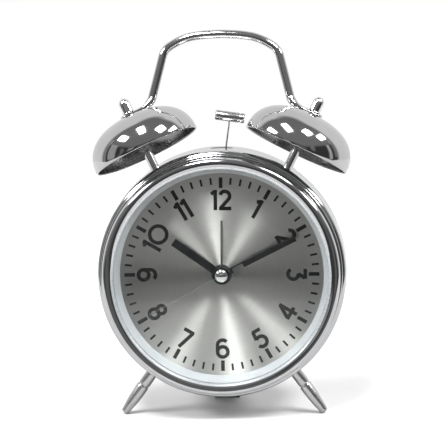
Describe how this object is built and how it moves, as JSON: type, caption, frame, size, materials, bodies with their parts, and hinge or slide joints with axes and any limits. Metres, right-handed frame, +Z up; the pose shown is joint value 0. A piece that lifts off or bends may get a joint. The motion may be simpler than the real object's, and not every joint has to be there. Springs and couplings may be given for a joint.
{
  "type": "twin bell alarm clock",
  "caption": "Round twin-bell alarm clock: chrome case on turned legs, bells with hammer and handle on top, glazed dial with hands, setting knobs at the back.",
  "frame": {"origin": "centre of the footprint box on the table, under the clock", "axes": "+Z up, +Y towards the back of the clock, +X to the right as one reads the dial; the dial leans back seven degrees"},
  "size_m": [0.1136, 0.0564, 0.1667],
  "materials": {
    "chrome_case": "polished",
    "chrome_bells": "polished",
    "chrome_handle": "polished",
    "satin_chrome_legs": "satin",
    "steel_hammer": "satin",
    "steel_wire": "satin",
    "dial_metal": "radial brushed",
    "rehaut": "satin",
    "glass": "clear",
    "black_hands": "satin",
    "grey_hand": "satin",
    "black_cover": "fine texture",
    "black_knobs": "satin",
    "rubber": "matte",
    "zinc_steel": "zinc plated",
    "brass": "turned",
    "white_plastic": "moulded",
    "movement_plastic": "moulded",
    "pcb": "solder mask",
    "copper_coil": "enamelled wire",
    "battery_jacket": "satin"
  },
  "bodies": {
    "case": {"alarm_motor": "zinc_steel", "battery": "battery_jacket", "battery_contacts": "zinc_steel", "bell_left": "chrome_bells", "bell_right": "chrome_bells", "bell_washers": "zinc_steel", "bezel_ring": "chrome_case", "cap_nut_left": "chrome_handle", "cap_nut_right": "chrome_handle", "case_drum": "chrome_case", "circuit_board": "pcb", "coil": "copper_coil", "cover_screws": "zinc_steel", "crank_axle": "zinc_steel", "dial_plate": "dial_metal", "hammer_pivot_pin": "zinc_steel", "handle": "chrome_handle", "leg_left": "satin_chrome_legs", "leg_nuts": "zinc_steel", "leg_right": "satin_chrome_legs", "lens": "glass", "mechanism_bracket": "zinc_steel", "movement_back": "movement_plastic", "movement_front": "movement_plastic", "movement_nut": "brass", "post_left": "chrome_handle", "post_nuts": "zinc_steel", "post_right": "chrome_handle", "quartz_crystal": "zinc_steel", "rear_cover": "black_cover", "rear_foot_pad": "rubber", "rehaut_ring": "rehaut", "stator": "zinc_steel"},
    "hammer": {"hammer_head": "steel_hammer", "hammer_rod": "steel_wire", "hammer_rocker": "zinc_steel"},
    "crank": {"crank_gear": "white_plastic"},
    "motor_rotor": {"motor_pinion": "brass"},
    "minute": {"minute_hand": "black_hands", "minute_wheel": "white_plastic"},
    "hour": {"hour_hand": "black_hands", "hour_wheel": "white_plastic"},
    "time_set": {"time_set_arbor": "white_plastic", "time_set_knob": "black_knobs"},
    "second": {"second_hand": "grey_hand", "second_wheel": "white_plastic", "hand_cap": "chrome_handle"},
    "intermediate": {"intermediate_wheel": "white_plastic"},
    "step_rotor": {"rotor": "white_plastic"},
    "alarm": {"alarm_hand": "black_hands", "alarm_wheel": "white_plastic"},
    "alarm_set": {"alarm_set_arbor": "white_plastic", "alarm_set_knob": "black_knobs"},
    "alarm_switch_body": {"alarm_switch": "black_knobs"},
    "battery_door_body": {"battery_door": "black_cover"}
  },
  "joints": [
    {"name": "hammer_swing", "type": "hinge", "parent": "case", "child": "hammer", "pos_m": [0, 0.00381, 0.10284], "axis": [0, 0.9925, -0.1219], "range_deg": [-19.2, 3.2]},
    {"name": "crank_spin", "type": "hinge", "parent": "case", "child": "crank", "pos_m": [0, 0.00535, 0.09328], "axis": [0, 0.9925, -0.1219], "continuous": true},
    {"name": "motor_spin", "type": "hinge", "parent": "case", "child": "motor_rotor", "pos_m": [0.00752, 0.00201, 0.09644], "axis": [0, 0.9925, -0.1219], "continuous": true},
    {"name": "minute_spin", "type": "hinge", "parent": "case", "child": "minute", "pos_m": [0, -0.0101, 0.06344], "axis": [0, 0.9925, -0.1219], "continuous": true},
    {"name": "hour_spin", "type": "hinge", "parent": "case", "child": "hour", "pos_m": [0, -0.0101, 0.06344], "axis": [0, 0.9925, -0.1219], "continuous": true},
    {"name": "time_set_spin", "type": "hinge", "parent": "case", "child": "time_set", "pos_m": [0, 0.0063, 0.04933], "axis": [0, 0.9925, -0.1219], "continuous": true},
    {"name": "second_spin", "type": "hinge", "parent": "case", "child": "second", "pos_m": [0, -0.0101, 0.06344], "axis": [0, 0.9925, -0.1219], "continuous": true},
    {"name": "intermediate_spin", "type": "hinge", "parent": "case", "child": "intermediate", "pos_m": [0.00935, -0.00051, 0.0677], "axis": [0, 0.9925, -0.1219], "continuous": true},
    {"name": "rotor_spin", "type": "hinge", "parent": "case", "child": "step_rotor", "pos_m": [0.01635, -0.00051, 0.0677], "axis": [0, 0.9925, -0.1219], "continuous": true},
    {"name": "alarm_spin", "type": "hinge", "parent": "case", "child": "alarm", "pos_m": [0, -0.0101, 0.06344], "axis": [0, 0.9925, -0.1219], "continuous": true},
    {"name": "alarm_set_spin", "type": "hinge", "parent": "case", "child": "alarm_set", "pos_m": [-0.012, 0.00777, 0.06124], "axis": [0, 0.9925, -0.1219], "continuous": true},
    {"name": "alarm_switch_slide", "type": "slide", "parent": "case", "child": "alarm_switch_body", "axis": [1, 0, 0], "range_m": [0, 0.0045]},
    {"name": "battery_door_slide", "type": "slide", "parent": "case", "child": "battery_door_body", "axis": [1, 0, 0], "range_m": [0, 0.012]}
  ],
  "couplings": [
    {"joint": "motor_spin", "follows": "crank_spin", "ratio": -3},
    {"joint": "hour_spin", "follows": "minute_spin", "ratio": 0.083333},
    {"joint": "time_set_spin", "follows": "minute_spin", "ratio": -0.33333},
    {"joint": "intermediate_spin", "follows": "second_spin", "ratio": -5},
    {"joint": "rotor_spin", "follows": "second_spin", "ratio": 30},
    {"joint": "alarm_set_spin", "follows": "alarm_spin", "ratio": -2}
  ]
}
